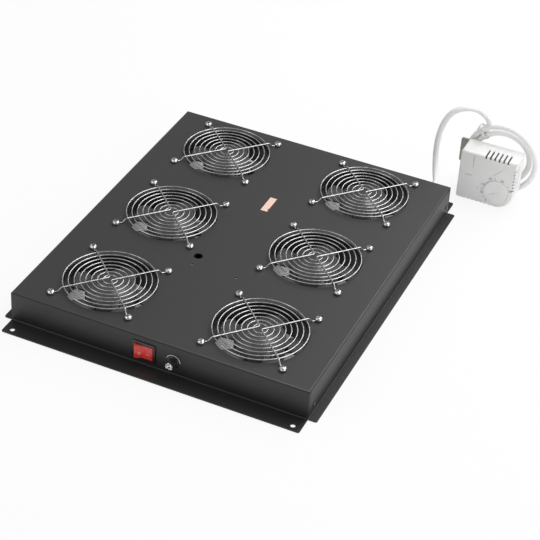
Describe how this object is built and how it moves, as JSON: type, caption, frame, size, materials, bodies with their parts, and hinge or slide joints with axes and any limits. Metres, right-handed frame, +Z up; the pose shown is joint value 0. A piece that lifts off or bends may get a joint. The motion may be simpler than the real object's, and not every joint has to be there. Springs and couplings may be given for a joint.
{
  "type": "rack fan tray",
  "caption": "Flat folded-steel rack tray with wire-guarded axial fans in its top, end flanges to bolt down, a rocker switch, fuse holder, plug inlet and a corded room thermostat.",
  "frame": {"origin": "centre of the four mounting holes, in the plane of the flanges' underside", "axes": "+Z up through the fan guards, +Y from the switch wall to the plug inlet wall, +X to the right when the switch wall is faced"},
  "size_m": [0.4966, 0.6207, 0.1317],
  "materials": {
    "tray_coat": "fine-textured dark grey powder coat",
    "rivet_metal": "blind rivets under the same dark coat",
    "fan_plastic": "moulded black with a soft sheen",
    "rotor_steel": "plain pressed steel",
    "stator_steel": "varnished laminations and windings",
    "bearing_steel": "ground steel",
    "guard_plating": "bright nickel-plated wire",
    "screw_plating": "bright zinc plating",
    "washer_plating": "bright plated ring",
    "black_gloss": "black moulded",
    "rocker_red": "translucent red moulded",
    "inlet_plastic": "black moulded",
    "terminal_brass": "tinned and plain brass",
    "fuse_glass": "clear tube with metal ends",
    "gland_plastic": "dark grey nylon",
    "cord_white": "white vinyl sheath, slightly glossy",
    "tie_plastic": "natural nylon",
    "thermostat_white": "white, finely textured",
    "plate_zinc": "dull zinc-plated sheet",
    "block_plastic": "natural moulded",
    "wire_cover": "black vinyl insulation"
  },
  "bodies": {
    "tray": {"bimetal_strip": "terminal_brass", "block_screws": "screw_plating", "cable_clips": "tie_plastic", "cable_tie": "tie_plastic", "cord_coil": "cord_white", "cord_gland": "gland_plastic", "corner_rivets": "rivet_metal", "fan_bearings": "bearing_steel", "fan_frame_1": "fan_plastic", "fan_frame_2": "fan_plastic", "fan_frame_3": "fan_plastic", "fan_frame_4": "fan_plastic", "fan_frame_5": "fan_plastic", "fan_frame_6": "fan_plastic", "fan_guard_1": "guard_plating", "fan_guard_2": "guard_plating", "fan_guard_3": "guard_plating", "fan_guard_4": "guard_plating", "fan_guard_5": "guard_plating", "fan_guard_6": "guard_plating", "fan_stators": "stator_steel", "fuse_holder": "black_gloss", "fuse_nut": "black_gloss", "fuse_washer": "washer_plating", "gland_locknut": "gland_plastic", "guard_nuts": "screw_plating", "guard_screws": "screw_plating", "inlet_nuts": "screw_plating", "inlet_pins": "terminal_brass", "inlet_screws": "screw_plating", "panel_terminals": "terminal_brass", "plate_screws": "screw_plating", "power_inlet": "inlet_plastic", "switch_body": "black_gloss", "terminal_block": "block_plastic", "thermostat_base": "thermostat_white", "thermostat_cord": "cord_white", "thermostat_cover": "thermostat_white", "thermostat_lead": "cord_white", "thermostat_plate": "plate_zinc", "thermostat_switch": "block_plastic", "tray_housing": "tray_coat", "wiring": "wire_cover"},
    "rocker": {"switch_rocker": "rocker_red"},
    "dial": {"thermostat_dial": "thermostat_white", "dial_spindle": "thermostat_white"},
    "fuse_carrier": {"fuse_link": "fuse_glass"},
    "fuse_turn": {"fuse_cap": "black_gloss"},
    "fan_1": {"fan_rotor_1": "rotor_steel", "impeller_1": "fan_plastic"},
    "fan_2": {"fan_rotor_2": "rotor_steel", "impeller_2": "fan_plastic"},
    "fan_3": {"fan_rotor_3": "rotor_steel", "impeller_3": "fan_plastic"},
    "fan_4": {"fan_rotor_4": "rotor_steel", "impeller_4": "fan_plastic"},
    "fan_5": {"fan_rotor_5": "rotor_steel", "impeller_5": "fan_plastic"},
    "fan_6": {"fan_rotor_6": "rotor_steel", "impeller_6": "fan_plastic"}
  },
  "joints": [
    {"name": "fan_1_spin", "type": "hinge", "parent": "tray", "child": "fan_1", "pos_m": [-0.1004, -0.1645, 0.0235], "axis": [0, 0, 1], "continuous": true},
    {"name": "fan_2_spin", "type": "hinge", "parent": "tray", "child": "fan_2", "pos_m": [0.1004, -0.1645, 0.0235], "axis": [0, 0, 1], "continuous": true},
    {"name": "fan_3_spin", "type": "hinge", "parent": "tray", "child": "fan_3", "pos_m": [-0.1004, 0, 0.0235], "axis": [0, 0, 1], "continuous": true},
    {"name": "fan_4_spin", "type": "hinge", "parent": "tray", "child": "fan_4", "pos_m": [0.1004, 0, 0.0235], "axis": [0, 0, 1], "continuous": true},
    {"name": "fan_5_spin", "type": "hinge", "parent": "tray", "child": "fan_5", "pos_m": [-0.1004, 0.1645, 0.0235], "axis": [0, 0, 1], "continuous": true},
    {"name": "fan_6_spin", "type": "hinge", "parent": "tray", "child": "fan_6", "pos_m": [0.1004, 0.1645, 0.0235], "axis": [0, 0, 1], "continuous": true},
    {"name": "rocker_tilt", "type": "hinge", "parent": "tray", "child": "rocker", "pos_m": [-0.0158, -0.237, 0.0214], "axis": [0, 0, -1], "range_deg": [0, 22]},
    {"name": "dial_turn", "type": "hinge", "parent": "tray", "child": "dial", "pos_m": [0.246, 0.284, 0.024], "axis": [0, 1, 0], "range_deg": [-60, 200]},
    {"name": "fuse_pull", "type": "slide", "parent": "tray", "child": "fuse_carrier", "axis": [0, -1, 0], "range_m": [0, 0.03]},
    {"name": "fuse_cap_turn", "type": "hinge", "parent": "fuse_carrier", "child": "fuse_turn", "pos_m": [0.0228, -0.245, 0.0205], "axis": [0, -1, 0], "range_deg": [0, 90]}
  ]
}
